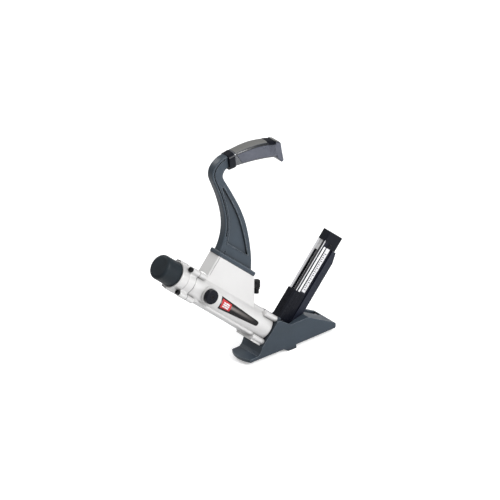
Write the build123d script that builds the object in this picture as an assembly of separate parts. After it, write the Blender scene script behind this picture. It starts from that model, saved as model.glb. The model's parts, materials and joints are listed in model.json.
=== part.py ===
from build123d import *
import os
from math import atan2, cos, degrees, radians, sin, sqrt

# A mallet-struck pneumatic flooring nailer, standing on its foot.
#
# Row frame: millimetres, +X towards the front of the foot, +Z up, Y = 0 is the symmetry plane.
# The origin is where the driver's axis meets the plane of the foot's underside.
#
# Tool frame: x runs along the barrel towards the nose, z along the magazine, y as in the row
# frame. The barrel slopes down at 45 degrees, so a part made in the tool frame is turned by
# DRIVE_ANGLE about Y before it is written.

os.makedirs("parts", exist_ok=True)

DRIVE_ANGLE = 45.0
ROOT2 = sqrt(2)

# ---- fits -------------------------------------------------------------------------------
RUN = 0.06            # radial clearance of a running fit
SEAT = 0.10           # gap between fixed neighbours

# ---- barrel -----------------------------------------------------------------------------
BARREL_R = 33.5
BARREL_REAR = -345.0
BARREL_FRONT = -77.0
VALVE_BORE_R = 29.5
CYL_BORE_R = 28.6
BORE_STEP = -262.0
BORE_END = -98.0
NOSE_HOLE_R = 9.0
SCREW_Y = 25.0
SCREW_Z = 29.5
BOSS_R = 6.8
REAR_BOSS_END = -322.0
FRONT_BOSS_START = -114.0
M6_R = 2.95
M6_TAP_R = 3.0
M6_CLEAR_R = 3.3
M6_HEAD_R = 5.4
M6_HEAD_H = 7.0

# ---- neck -------------------------------------------------------------------------------
NECK_HALF_Y = 19.0
NECK_REAR = -313.0
NECK_TOP = 87.0
NECK_TOP_FRONT = -189.0
NECK_FOOT_FRONT = -148.0
NECK_FOOT_Z = 34.5
HANDLE_SCREW_X = (-298.0, -205.0)
HANDLE_SCREW_Y = 13.6
M5_R = 2.45
M5_TAP_R = 2.5
M5_HEAD_R = 4.2
M5_HEAD_H = 5.0

# ---- rear end ---------------------------------------------------------------------------
GASKET_T = 1.0
CAP_REAR = -368.0
COLLAR_REAR = -390.0
COLLAR_R = 33.0
COLLAR_BORE_R = 30.2
WEB_REAR = -366.0
WEB_FRONT = -358.0
STRIKE_R = 29.5
STRIKE_REAR = -437.0
STRIKE_FRONT = -386.0
STRIKE_WALL = 8.0
STRIKE_TRAVEL = 12.0
RAM_R = 8.0
RAM_TIP = -305.0

# ---- cylinder, valve and piston -----------------------------------------------------------
SLEEVE_REAR = -222.0
SLEEVE_FRONT = -98.2
SLEEVE_R = 26.0
SLEEVE_BORE_R = 23.5
SLEEVE_FLANGE_R = CYL_BORE_R - SEAT
GUIDE_REAR = -330.0
STEM_R = 12.0
VALVE_LIFT = 6.0
PISTON_REAR = -220.0
PISTON_FRONT = -200.0
HUB_R = 8.5
HUB_FRONT = -188.0
BUMPER_REAR = -128.0
BLADE_HALF_Y = 6.3
BLADE_HALF_Z = 1.0
BLADE_TIP = -64.0
PIN_X = -192.5
PIN_R = 1.5

# ---- foot (row frame) ---------------------------------------------------------------------
FOOT_HALF_Y = 39.0
FOOT_REAR_HALF_Y = 36.0
FOOT_REAR_X = -127.0
FOOT_REAR_CORNER_X = -118.0
REAR_PLATE_T = 7.5
WALL_INNER_Y = 31.0
PLATE_FRONT = -69.0
POCKET_FLOOR_Z = 4.0
LIP_DEPTH = 8.5
LIP_FACE_X = 6.0
RAMP_TOP = (46.0, 54.0)
RAMP_END = (114.0, 14.0)
FOOT_BOLT_X = 100.0
FOOT_BOLT_Y = 20.0
FOOT_BOLT_SEAT = 9.0

# ---- nose and magazine --------------------------------------------------------------------
NOSE_HALF_Y = 13.4
NOSE_HALF_Z = 14.0
CHANNEL_HALF_Z = 1.1
CHEEK_T = 3.6
CHEEK_TOP = 34.5
MAG_REAR = -54.0
MAG_FRONT = -2.0
MAG_HALF_Y = 12.8
MAG_SLOT_HALF_Y = 6.6
MAG_GROOVE_REAR = -29.0
MAG_GROOVE_FRONT = -20.0
MAG_GROOVE_HALF_Y = 9.8
MAG_TAPER_START = 202.0
MAG_TAPER_END = 225.0
MAG_TAPER = 7.0
MAG_LABEL_REAR = -40.5
MAG_LABEL_FRONT = -29.5
MAG_CAP_BOTTOM = 226.0
MAG_CAP_TOP = 262.0
MAG_CAP_REAR = -59.0
MAG_CAP_STEP = 237.0
MAG_CAP_FRONT = -15.0
MAG_TOP = 240.0
RAIL_T = 1.6
RAIL_INNER_Y = 5.5
ANCHOR_BOTTOM = 212.0
SPRING_X = -50.0
ROD_R = 1.4

# ---- pusher -------------------------------------------------------------------------------
PUSHER_BOTTOM = 35.0
PUSHER_TOP = 109.0
PUSHER_REAR = -60.0
PUSHER_HALF_Y = 14.5
SHOE_BOTTOM = 3.0
SHOE_TOP = 60.0

# ---- handle (row frame) -------------------------------------------------------------------
FLANGE_REAR = -316.0
FLANGE_FRONT = -190.0
FLANGE_HALF_Y = 19.5
FLANGE_T = 9.0
SCREW_SEAT_H = 4.5     # of the handle screws, above the flange's underside
ARM_HALF_Y = 10.5
ARM_END_X = -104.0
PANEL_DEPTH = 3.6
PANEL_REAR = ((-130, 302), (-121, 325), (-117, 352), (-119, 390), (-128, 440))
PANEL_FRONT = ((-124, 440), (-107, 398), (-92, 350), (-84, 300), (-80, 252))
ARM_REAR = ((-136, 319), (-129, 352), (-131, 393), (-145, 453), (-149.5, 476), (-144, 493),
            (-130, 505), (-114, 511.5))
CORE_HALF = 7.0
# the grip's middle line as (x, z, height, width) of its cross-section
GRIP_STATIONS = ((-104, 495.3, 37, 34), (-89, 496.2, 38.5, 35), (-88.6, 497.4, 36.5, 31),
                 (-60, 497.1, 40, 33), (-48, 496.4, 41, 34), (-18, 492.4, 43, 34),
                 (6, 486.9, 43, 33), (24, 481.0, 44, 31))
SEAM_TOP_X = -88.0
SEAM_LOW_X = -67.5
GRIP_SCREW_Z = 482.0
GRIP_SCREW_SEAT = 33.0
GRIP_CORNER_R = 10.5

# ---- air inlet ----------------------------------------------------------------------------
FACE_RUN = NECK_FOOT_FRONT - NECK_TOP_FRONT
FACE_FALL = NECK_TOP - NECK_FOOT_Z
INLET_TILT = degrees(atan2(FACE_RUN, FACE_FALL))
INLET_DROP = 22.1      # below the neck's top
INLET_Z = NECK_TOP - INLET_DROP
INLET_X = NECK_TOP_FRONT + INLET_DROP * FACE_RUN / FACE_FALL
SPIGOT_R = 5.5
ELBOW_REACH = 18.0

# ---- exhaust ------------------------------------------------------------------------------
EXHAUST_X = -294.0
EXHAUST_Z = 0.0
EXHAUST_FACE_Y = -38.0
EXHAUST_R = 17.0


# ---------------------------------------------------------------------------------------------
# helpers
# ---------------------------------------------------------------------------------------------
def block(x0, x1, y0, y1, z0, z1):
    return Pos((x0 + x1) / 2, (y0 + y1) / 2, (z0 + z1) / 2) * Box(x1 - x0, y1 - y0, z1 - z0)


def slab(x0, x1, half_y, z0, z1):
    return block(x0, x1, -half_y, half_y, z0, z1)


def rod_x(r, x0, x1, y=0.0, z=0.0):
    return Pos((x0 + x1) / 2, y, z) * Rot(0, 90, 0) * Cylinder(r, x1 - x0)


def rod_y(r, y0, y1, x, z):
    return Pos(x, (y0 + y1) / 2, z) * Rot(90, 0, 0) * Cylinder(r, y1 - y0)


def rod_z(r, z0, z1, x, y=0.0):
    return Pos(x, y, (z0 + z1) / 2) * Cylinder(r, z1 - z0)


def ring_x(r_out, r_in, x0, x1):
    return rod_x(r_out, x0, x1) - rod_x(r_in, x0 - 1, x1 + 1)


def side_plate(outline, half_y):
    """Prism with an outline of (x, z) points, from -half_y to half_y."""
    face = Plane.XZ * make_face(Polyline(*outline, close=True))
    return extrude(face, amount=half_y, both=True)


def o_ring(major_r, minor_r, x):
    return Pos(x, 0, 0) * Rot(0, 90, 0) * Torus(major_r, minor_r)


def coil(radius, wire, pitch, length):
    """Round-wire spring along +Z from the origin."""
    path = Helix(pitch=pitch, height=length, radius=radius)
    section = Plane(origin=path @ 0, z_dir=path % 0) * Circle(wire / 2)
    return sweep(section, path=path)


def corner_screws():
    """(y, z) of the four barrel screws at either end."""
    return [(y, z) for y in (-SCREW_Y, SCREW_Y) for z in (-SCREW_Z, SCREW_Z)]


def socket_screw(shank_r, head_r, head_h, length, key_r):
    """Socket-head screw along +Z: the shank runs up from 0, the head hangs below it."""
    screw = Pos(0, 0, length / 2) * Cylinder(shank_r, length)
    head = Pos(0, 0, -head_h / 2) * Cylinder(head_r, head_h)
    screw += chamfer(head.edges().filter_by(GeomType.CIRCLE).sort_by(Axis.Z)[0], 0.5)
    key = Pos(0, 0, -head_h) * extrude(RegularPolygon(key_r, 6), amount=head_h * 0.55)
    return screw - key


def row(shape):
    """Turn a part from the tool frame into the row frame."""
    return Rot(0, DRIVE_ANGLE, 0) * shape


def above_floor(shape, clear=0.05):
    """Cut a tool-frame part on the foot's pocket floor."""
    size = 600
    half_space = Pos(0, 0, POCKET_FLOOR_Z + clear + size / 2) * Box(size, size, size)
    return shape & (Rot(0, -DRIVE_ANGLE, 0) * half_space)


def save(name, shape):
    shape.label = name
    export_step(shape, "parts/" + name + ".step")


def group(shapes):
    return Compound([solid for shape in shapes for solid in shape.solids()])


# ---------------------------------------------------------------------------------------------
# barrel housing with its neck
# ---------------------------------------------------------------------------------------------
def barrel_outside():
    body = rod_x(BARREL_R, BARREL_REAR, BARREL_FRONT)
    body = chamfer(body.edges().filter_by(GeomType.CIRCLE), 1.0)
    for y, z in corner_screws():
        body += rod_x(BOSS_R, BARREL_REAR, REAR_BOSS_END, y, z)
        body += rod_x(BOSS_R, FRONT_BOSS_START, BARREL_FRONT, y, z)
    ridge_r, ridge_y, ridge_z = 5.0, 21.0, 25.0
    for y in (-ridge_y, ridge_y):
        body += rod_x(ridge_r, REAR_BOSS_END, FRONT_BOSS_START, y, -ridge_z)
    pad_half_y, pad_rear, pad_bottom = 28.0, -112.0, -40.0
    body += slab(pad_rear, BARREL_FRONT, pad_half_y, pad_bottom, -30.0)
    body += rod_y(EXHAUST_R + 2.5, EXHAUST_FACE_Y, -10, EXHAUST_X, EXHAUST_Z)
    return body


def joint_gap():
    """Step round the barrel's front end that leaves a shadow gap against the foot."""
    width, depth = 3.0, 3.0
    gap = ring_x(BARREL_R + 20, BARREL_R - depth, BARREL_FRONT - width, BARREL_FRONT + 1)
    for y, z in corner_screws():
        gap -= rod_x(BOSS_R + 0.5, BARREL_FRONT - width - 1, BARREL_FRONT + 2, y, z)
    return gap


def neck_outside():
    """The neck, run down inside the barrel, with rounded upright edges."""
    low = 10.0
    toe = NECK_FOOT_FRONT + (NECK_FOOT_Z - low) * FACE_RUN / FACE_FALL
    outline = [(NECK_REAR, low), (NECK_REAR, NECK_TOP), (NECK_TOP_FRONT, NECK_TOP), (toe, low)]
    neck = side_plate(outline, NECK_HALF_Y)
    upright = [e for e in neck.edges() if abs(abs(e.center().Y) - NECK_HALF_Y) < 0.1
               and low + 2 < e.center().Z < NECK_TOP - 5]
    return fillet(upright, 3.0)


def blend_neck(body):
    """Round the corner where the neck stands on the barrel."""
    seam = [e for e in body.edges() if abs(e.center().Y) < NECK_HALF_Y + 0.5
            and NECK_REAR - 2 < e.center().X < NECK_FOOT_FRONT + 10
            and 20 < e.center().Z < BARREL_R + 2 and e.length > 3]
    return fillet(seam, 6.0)


def witness_grooves():
    """Parting grooves down either side of the neck, by its rear corners."""
    x, depth, width = NECK_REAR + 3.0, 1.0, 1.8
    grooves = slab(x, x + width, NECK_HALF_Y + 1, BARREL_R + 6, NECK_TOP + 1)
    return grooves - slab(x - 1, x + width + 1, NECK_HALF_Y - depth, BARREL_R, NECK_TOP + 2)


def inlet_place():
    """Location of the inlet's local frame: x points squarely out of the neck's front face."""
    return Pos(INLET_X, 0, INLET_Z) * Rot(0, -INLET_TILT, 0)


def barrel_housing():
    body = blend_neck(barrel_outside() + neck_outside()) - witness_grooves() - joint_gap()
    body -= rod_x(VALVE_BORE_R, BARREL_REAR - 1, BORE_STEP)
    body -= rod_x(CYL_BORE_R, BORE_STEP - 1, BORE_END)
    body -= rod_x(NOSE_HOLE_R, BORE_END - 1, BARREL_FRONT + 1)
    body -= slab(-290, -213, 14.0, 22, NECK_TOP + 1)
    body -= slab(-306, -197, 8.4, 22, NECK_TOP + 1)
    for y, z in corner_screws():
        body -= rod_x(M6_TAP_R, BARREL_REAR - 1, REAR_BOSS_END - 4, y, z)
        body -= rod_x(M6_TAP_R, -99, BARREL_FRONT + 1, y, z)
    for x in HANDLE_SCREW_X:
        for y in (-HANDLE_SCREW_Y, HANDLE_SCREW_Y):
            body -= rod_z(M5_TAP_R, NECK_TOP - 16, NECK_TOP + 1, x, y)
    for x, z in exhaust_holes():
        body -= rod_y(3.6, EXHAUST_FACE_Y - 1, -20, x, z)
    body -= rod_y(M5_TAP_R, EXHAUST_FACE_Y - 1, -24, EXHAUST_X, EXHAUST_Z)
    body -= inlet_place() * rod_x(7.0 + SEAT, -33, 1)
    return body


def exhaust_holes():
    """(x, z) of the exhaust ports around the cover's screw."""
    ring = 9.0
    angles = [radians(45 + 90 * i) for i in range(4)]
    return [(EXHAUST_X + ring * cos(a), EXHAUST_Z + ring * sin(a)) for a in angles]


# ---------------------------------------------------------------------------------------------
# rear end: cap, strike cap and ram
# ---------------------------------------------------------------------------------------------
def cap_flange(x0, x1):
    """The barrel's circle and its four bosses, with the corners between them filled in."""
    outline = Circle(BARREL_R - 0.3)
    for y, z in corner_screws():
        outline += Pos(y, z) * Circle(BOSS_R + 0.4)
    blend = 5.0
    outline = offset(offset(outline, blend), -blend)
    return Pos(x0, 0, 0) * extrude(Plane.YZ * outline, amount=x1 - x0)


def end_cap():
    front = BARREL_REAR - GASKET_T
    flange = cap_flange(CAP_REAR, front)
    flange = chamfer(flange.edges().group_by(Axis.X)[0], 1.5)
    cap = flange + rod_x(COLLAR_R, COLLAR_REAR, CAP_REAR)
    cap += rod_x(VALVE_BORE_R - SEAT, front, GUIDE_REAR)
    cap -= rod_x(COLLAR_BORE_R, COLLAR_REAR - 1, WEB_REAR)
    cap -= rod_x(RAM_R + RUN, WEB_REAR - 1, WEB_FRONT + 1)
    cap -= rod_x(26.5, WEB_FRONT, GUIDE_REAR + 1)
    for y, z in corner_screws():
        cap -= rod_x(M6_CLEAR_R, CAP_REAR - 1, front + 1, y, z)
    return cap


def end_cap_gasket():
    gasket = cap_flange(BARREL_REAR - GASKET_T, BARREL_REAR)
    gasket -= rod_x(VALVE_BORE_R, BARREL_REAR - 2, BARREL_REAR + 1)
    for y, z in corner_screws():
        gasket -= rod_x(M6_CLEAR_R, BARREL_REAR - 2, BARREL_REAR + 1, y, z)
    return gasket


def end_cap_screws():
    screw = Rot(0, 90, 0) * socket_screw(M6_R, M6_HEAD_R, M6_HEAD_H, 38, 2.9)
    return group(Pos(CAP_REAR, y, z) * screw for y, z in corner_screws())


def strike_cap():
    cap = rod_x(STRIKE_R, STRIKE_REAR, STRIKE_FRONT)
    rear_edge = cap.edges().filter_by(GeomType.CIRCLE).sort_by(Axis.X)[0]
    cap = fillet(rear_edge, 7.0)
    front_edge = cap.edges().filter_by(GeomType.CIRCLE).sort_by(Axis.X)[-1]
    cap = chamfer(front_edge, 1.0)
    return cap - rod_x(18.0, STRIKE_REAR + STRIKE_WALL, STRIKE_FRONT + 1)


def ram():
    head_rear = STRIKE_REAR + STRIKE_WALL
    part = rod_x(17.9, head_rear, head_rear + 4) + rod_x(RAM_R, head_rear, RAM_TIP)
    part = chamfer(part.edges().filter_by(GeomType.CIRCLE).sort_by(Axis.X)[-1], 1.5)
    return part - ring_x(RAM_R + 1, RAM_R - 1.2, WEB_FRONT + 0.4, WEB_FRONT + 2.6)


def ram_clip():
    clip = ring_x(11.5, RAM_R - 1.15, WEB_FRONT + 0.5, WEB_FRONT + 2.5)
    return clip - block(WEB_FRONT, WEB_FRONT + 3, -2, 2, 0, 13)


def strike_spring():
    rear = STRIKE_REAR + STRIKE_WALL + 4
    length = WEB_REAR - rear - 3.4
    wound = Rot(0, 90, 0) * coil(12.5, 2.6, 8.0, length)
    return Pos(rear + 1.7, 0, 0) * wound


# ---------------------------------------------------------------------------------------------
# cylinder, head valve and piston
# ---------------------------------------------------------------------------------------------
def cylinder_sleeve():
    sleeve = rod_x(SLEEVE_R, SLEEVE_REAR, SLEEVE_FRONT)
    sleeve += rod_x(SLEEVE_FLANGE_R, -215, -207)
    sleeve += rod_x(SLEEVE_FLANGE_R, -106, SLEEVE_FRONT)
    for x in (-211, -102):
        sleeve -= ring_x(SLEEVE_FLANGE_R + 1, 27.0, x - 1.6, x + 1.6)
    sleeve -= rod_x(SLEEVE_BORE_R, SLEEVE_REAR - 1, SLEEVE_FRONT + 1)
    ports = 8
    for i in range(ports):
        sleeve -= Rot(360 / ports * i, 0, 0) * rod_z(1.8, 20, 30, -134)
    return sleeve


def sleeve_rings():
    return group(o_ring(27.8, 0.76, x) for x in (-211, -102))


def bumper():
    pad = rod_x(SLEEVE_BORE_R - SEAT, BUMPER_REAR, SLEEVE_FRONT)
    pad = chamfer(pad.edges().filter_by(GeomType.CIRCLE).sort_by(Axis.X)[0], 2.5)
    return pad - rod_x(HUB_R + 1, BUMPER_REAR - 1, SLEEVE_FRONT + 1)


def valve_guide():
    guide = rod_x(VALVE_BORE_R - SEAT, GUIDE_REAR, BORE_STEP)
    guide -= rod_x(STEM_R + RUN, -320, BORE_STEP + 1)
    guide -= rod_x(14.0, GUIDE_REAR - 1, -319)
    guide -= ring_x(VALVE_BORE_R + 1, 25.0, -303, -275)
    for i in range(4):
        guide -= Rot(90 * i, 0, 0) * rod_z(4.0, 8, 30, -282)
    for i in range(3):
        guide -= Rot(120 * i + 60, 0, 0) * rod_x(2.5, GUIDE_REAR - 1, BORE_STEP + 1, 0, 20)
    return guide


def head_valve():
    valve = rod_x(CYL_BORE_R - RUN, -250, -226) + rod_x(STEM_R, -285, -248)
    valve -= rod_x(20.0, -240, -225)
    valve -= rod_x(6.0, -281, -225)
    for angle in (0, 90):
        valve -= Rot(angle, 0, 0) * rod_z(3.0, -14, 14, -277)
    return valve


def head_valve_seal():
    seal = rod_x(27.0, -226, SLEEVE_REAR)
    return seal - rod_x(22.0, -227, SLEEVE_REAR + 1)


def valve_spring():
    wound = Rot(0, 90, 0) * coil(15.0, 1.6, 4.2, 9.6)
    return Pos(BORE_STEP + 1.1, 0, 0) * wound


def piston():
    body = rod_x(SLEEVE_BORE_R - RUN, PISTON_REAR, PISTON_FRONT) + rod_x(HUB_R, -202, HUB_FRONT)
    body = chamfer(body.edges().filter_by(GeomType.CIRCLE).sort_by(Axis.X)[0], 0.8)
    body -= ring_x(SLEEVE_BORE_R + 1, 21.2, -213, -208)
    body -= rod_x(13.0, PISTON_REAR - 1, PISTON_REAR + 4)
    body -= block(-198, HUB_FRONT + 1, -BLADE_HALF_Y - 0.05, BLADE_HALF_Y + 0.05,
                  -BLADE_HALF_Z - 0.05, BLADE_HALF_Z + 0.05)
    return body - rod_z(PIN_R + 0.03, -10, 10, PIN_X)


def piston_ring():
    return ring_x(SLEEVE_BORE_R - 0.03, 21.25, -212.9, -208.1)


def driver_blade():
    blade = block(-197.9, BLADE_TIP, -BLADE_HALF_Y, BLADE_HALF_Y, -BLADE_HALF_Z, BLADE_HALF_Z)
    return blade - rod_z(PIN_R + 0.03, -10, 10, PIN_X)


def blade_pin():
    return rod_z(PIN_R, -8.2, 8.2, PIN_X)


# ---------------------------------------------------------------------------------------------
# exhaust, label and badge on the barrel's side
# ---------------------------------------------------------------------------------------------
def exhaust_cover():
    top = EXHAUST_FACE_Y - 10.5
    cover = rod_y(EXHAUST_R, top, EXHAUST_FACE_Y, EXHAUST_X, EXHAUST_Z)
    cover = fillet(cover.edges().filter_by(GeomType.CIRCLE).sort_by(Axis.Y)[0], 2.2)
    cover -= rod_y(13.5, top + 4, EXHAUST_FACE_Y + 1, EXHAUST_X, EXHAUST_Z)
    cover -= rod_y(2.7, top - 1, EXHAUST_FACE_Y, EXHAUST_X, EXHAUST_Z)
    cover -= rod_y(5.0, top - 1, top + 2, EXHAUST_X, EXHAUST_Z)
    vents = 5
    for i in range(vents):
        turn = Pos(EXHAUST_X, 0, EXHAUST_Z) * Rot(0, -150 + 30 * i, 0)
        cover -= turn * block(11, 20, EXHAUST_FACE_Y - 4.5, EXHAUST_FACE_Y - 1.5, -2.2, 2.2)
    return cover


def exhaust_filter():
    disc = rod_y(13.3, EXHAUST_FACE_Y - 5.5, EXHAUST_FACE_Y, EXHAUST_X, EXHAUST_Z)
    return disc - rod_y(2.7, EXHAUST_FACE_Y - 6, EXHAUST_FACE_Y + 1, EXHAUST_X, EXHAUST_Z)


def exhaust_screw():
    top = EXHAUST_FACE_Y - 10.5
    screw = socket_screw(M5_R, M5_HEAD_R, 2.0, 14, 2.3)
    return Pos(EXHAUST_X, top + 2, EXHAUST_Z) * Rot(-90, 0, 0) * screw


LABEL_REAR, LABEL_FRONT, LABEL_T = -255.0, -122.0, 0.45


def wrapped(outline_face, depth_in, depth_out):
    """The piece of a thin shell on the barrel's -Y side that lies behind an outline."""
    prism = extrude(Plane.XZ * outline_face, amount=60, dir=(0, -1, 0))
    return prism & ring_x(BARREL_R + depth_out, BARREL_R + depth_in, LABEL_REAR - 5, LABEL_FRONT + 5)


def body_label():
    rear_low, rear_high = -15.0, 14.0
    tip_r, tip_x, tip_z = 6.0, LABEL_FRONT - 6.0, -0.5
    tip_low, tip_high = (tip_x, tip_z - tip_r), (tip_x, tip_z + tip_r)
    sides = Polyline(tip_low, (LABEL_REAR + 6, rear_low), (LABEL_REAR, rear_high), tip_high)
    outline = make_face([sides, ThreePointArc(tip_high, (LABEL_FRONT, tip_z), tip_low)])
    return wrapped(outline, 0.0, LABEL_T) - wrapped(badge_outline(), -1.0, LABEL_T + 1.0)


def badge_outline():
    return Polygon((-247, -11.0), (-251, 10.5), (-219, 8.0), (-216, -8.5), align=None)


def badge():
    return wrapped(badge_outline(), 0.0, LABEL_T + 0.3)


# ---------------------------------------------------------------------------------------------
# foot (row frame)
# ---------------------------------------------------------------------------------------------
def at_front_face(z):
    """Row-frame (x, z) of a point just ahead of the barrel's front face, z above its axis."""
    x = BARREL_FRONT + SEAT
    return ((x + z) / ROOT2, (z - x) / ROOT2)


def foot_profile():
    rear = [(FOOT_REAR_X - 2, 0), (FOOT_REAR_X - 2, REAR_PLATE_T), (-97, REAR_PLATE_T)]
    heel = [(-91, 12), (-86, 20), at_front_face(-41.0)]
    wall = [at_front_face(27.5), (-28, 73), (-2.6, 53.5)]
    front = [RAMP_TOP, RAMP_END, (119, 9), (118, 3), (114, 0)]
    lip = [(LIP_FACE_X, 0), (LIP_FACE_X, -LIP_DEPTH), (-16, -LIP_DEPTH), (-28, 0)]
    return rear + heel + wall + front + lip


def foot_plan():
    """Plan outline: an arc at the narrower rear, rounded corners at the front."""
    tip_x, tip_r = 120.0, 7.0
    y, rear_y = FOOT_HALF_Y, FOOT_REAR_HALF_Y
    near, far = (FOOT_REAR_CORNER_X, -rear_y), (FOOT_REAR_CORNER_X, rear_y)
    rear = ThreePointArc(far, (FOOT_REAR_X, 0), near)
    rest = Polyline(near, (LIP_FACE_X, -y), (tip_x, -y), (tip_x, y), (LIP_FACE_X, y), far)
    face = make_face([rear, rest])
    front = [v for v in face.vertices() if v.X > tip_x - 1]
    return fillet(front, tip_r)


def foot_pocket():
    """Space between the walls for the nose and the magazine, narrowing to the front."""
    back = PLATE_FRONT * ROOT2
    step = -20 * ROOT2
    floor, top = POCKET_FLOOR_Z, 110.0
    corner_z = (step - back) / 2
    front = 0.5 * ROOT2
    outline = [(corner_z + back, corner_z), (step - floor, floor), (front + floor, floor),
               (front + 64, 64), (front + 64, top), (top + back, top)]
    pocket = side_plate(outline, WALL_INNER_Y)
    plan = Polygon((-120, WALL_INNER_Y), (-120, -WALL_INNER_Y), (-4, -WALL_INNER_Y), (52, -14.5),
                   (70, -14.5), (70, 14.5), (52, 14.5), (-4, WALL_INNER_Y), align=None)
    return pocket & extrude(plan, amount=200)


def foot():
    body = side_plate(foot_profile(), FOOT_HALF_Y)
    body &= Pos(0, 0, -20) * extrude(foot_plan(), amount=140)
    body += row(slab(BARREL_FRONT + SEAT, PLATE_FRONT, 32.0, -40.0, 37.0))
    body -= foot_pocket()
    body -= row(rod_x(NOSE_HOLE_R + 0.2, BARREL_FRONT - 1, PLATE_FRONT + 1))
    body -= row(block(-12, 20, -6.6, 6.6, -2.4, 1.4))
    for y, z in corner_screws():
        body -= row(rod_x(M6_CLEAR_R, BARREL_FRONT - 1, PLATE_FRONT + 1, y, z))
        body -= row(rod_x(M6_HEAD_R + 0.8, PLATE_FRONT, 20, y, z))
    body -= ramp_trough()
    body -= rod_z(8.0, FOOT_BOLT_SEAT, 60, FOOT_BOLT_X, FOOT_BOLT_Y)
    body -= rod_z(3.3, -1, 12, FOOT_BOLT_X, FOOT_BOLT_Y)
    return body


def ramp_trough():
    """Trough sunk into the +Y half of the ramp, round the bolt."""
    (x0, z0), (x1, z1) = RAMP_TOP, RAMP_END
    fall = (z1 - z0) / (x1 - x0)
    rear, front, depth = 60.0, 108.0, 9.0
    floor_rear = z0 + (rear - x0) * fall - depth
    floor_front = z0 + (front - x0) * fall - depth
    outline = [(rear, floor_rear), (front, floor_front), (front, 60), (rear, 60)]
    inner_y, outer_y = 4.0, 31.0
    trough = Pos(0, (inner_y + outer_y) / 2, 0) * side_plate(outline, (outer_y - inner_y) / 2)
    return fillet(trough.edges().filter_by(Axis.Z), 3.0)


def foot_screws():
    screw = Rot(0, -90, 0) * socket_screw(M6_R, M6_HEAD_R, M6_HEAD_H, 26, 2.9)
    return row(group(Pos(PLATE_FRONT, y, z) * screw for y, z in corner_screws()))


def foot_bolt():
    bolt = Rot(180, 0, 0) * socket_screw(3.2, 6.0, 6.5, FOOT_BOLT_SEAT - 1, 3.0)
    return Pos(FOOT_BOLT_X, FOOT_BOLT_Y, FOOT_BOLT_SEAT) * bolt


# ---------------------------------------------------------------------------------------------
# nose
# ---------------------------------------------------------------------------------------------
NOSE_REAR = PLATE_FRONT + 0.05
NOSE_FRONT = 0.0
CHEEK_SCREWS = ((-62.0, -8.0), (-62.0, 8.0), (-36.0, 20.0), (-36.0, 30.0))


def nose_back_plate():
    plate = slab(NOSE_REAR, NOSE_FRONT, NOSE_HALF_Y, -NOSE_HALF_Z, CHANNEL_HALF_Z - 0.02)
    plate -= slab(NOSE_REAR - 1, NOSE_FRONT + 1, BLADE_HALF_Y + 0.08, -CHANNEL_HALF_Z, CHANNEL_HALF_Z + 1)
    x, z = CHEEK_SCREWS[0]
    plate -= rod_y(2.0, -20, 20, x, z)
    return above_floor(plate)


def nose_front_plate():
    plate = slab(NOSE_REAR, NOSE_FRONT, NOSE_HALF_Y, CHANNEL_HALF_Z, NOSE_HALF_Z)
    plate -= slab(MAG_REAR - 0.5, -4.5, MAG_SLOT_HALF_Y, 0, NOSE_HALF_Z + 1)
    x, z = CHEEK_SCREWS[1]
    plate -= rod_y(2.0, -20, 20, x, z)
    return above_floor(plate)


def magazine_cheeks():
    outline = [(NOSE_REAR, -NOSE_HALF_Z), (-19, -NOSE_HALF_Z), (-19, 14), (-28, CHEEK_TOP),
               (NOSE_REAR, CHEEK_TOP)]
    inner = NOSE_HALF_Y + 0.02
    plates = side_plate(outline, inner + CHEEK_T) - side_plate(outline, inner)
    for x, z in CHEEK_SCREWS:
        plates -= rod_y(2.1, -30, 30, x, z)
    return above_floor(plates)


def cheek_screws():
    outer = NOSE_HALF_Y + 0.02 + CHEEK_T
    screw = socket_screw(1.95, 3.4, 2.2, 9.0, 1.6)
    solids = []
    for x, z in CHEEK_SCREWS:
        solids.append(Pos(x, -outer, z) * Rot(-90, 0, 0) * screw)
        solids.append(Pos(x, outer, z) * Rot(90, 0, 0) * screw)
    return group(solids)


# ---------------------------------------------------------------------------------------------
# magazine
# ---------------------------------------------------------------------------------------------
def taper_cut(front):
    """Wedge that narrows the magazine towards its top."""
    far = front + 12
    return side_plate([(front, MAG_TAPER_START), (front - MAG_TAPER, MAG_TAPER_END),
                       (front - MAG_TAPER, MAG_CAP_TOP + 5), (far, MAG_CAP_TOP + 5),
                       (far, MAG_TAPER_START)], 30)


def magazine_channel():
    bottom = NOSE_HALF_Z + SEAT
    front = MAG_FRONT - 2.1
    body = slab(MAG_REAR, MAG_GROOVE_REAR, MAG_HALF_Y, bottom, MAG_TOP)
    body += slab(MAG_GROOVE_REAR, front, MAG_GROOVE_HALF_Y, bottom, MAG_TOP)
    body -= taper_cut(front)
    body -= slab(-17, 5, 30, MAG_CAP_BOTTOM - 0.1, MAG_TOP + 1)
    body -= slab(MAG_REAR - 1, -20, MAG_SLOT_HALF_Y, bottom - 1, MAG_TOP + 1)
    body -= slab(-21, -7.2, MAG_SLOT_HALF_Y, bottom - 1, 198)
    for x, z in CHEEK_SCREWS[2:]:
        body -= rod_y(2.0, -30, -7.8, x, z)
        body -= rod_y(2.0, 7.8, 30, x, z)
    for side in (-1, 1):
        body -= rod_y(1.6, min(side * 30, side * 8.2), max(side * 30, side * 8.2), -36, 233)
    return body


def magazine_front_cover():
    bottom = NOSE_HALF_Z + SEAT
    cover = slab(MAG_GROOVE_FRONT, MAG_FRONT, 13.0, bottom, MAG_CAP_BOTTOM - 0.2)
    cover -= taper_cut(MAG_FRONT)
    hollow = slab(MAG_GROOVE_FRONT - 1, MAG_FRONT - 2.0, MAG_GROOVE_HALF_Y + 0.05, bottom - 1, MAG_CAP_TOP)
    hollow -= taper_cut(MAG_FRONT - 2.0)
    return cover - hollow


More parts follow.
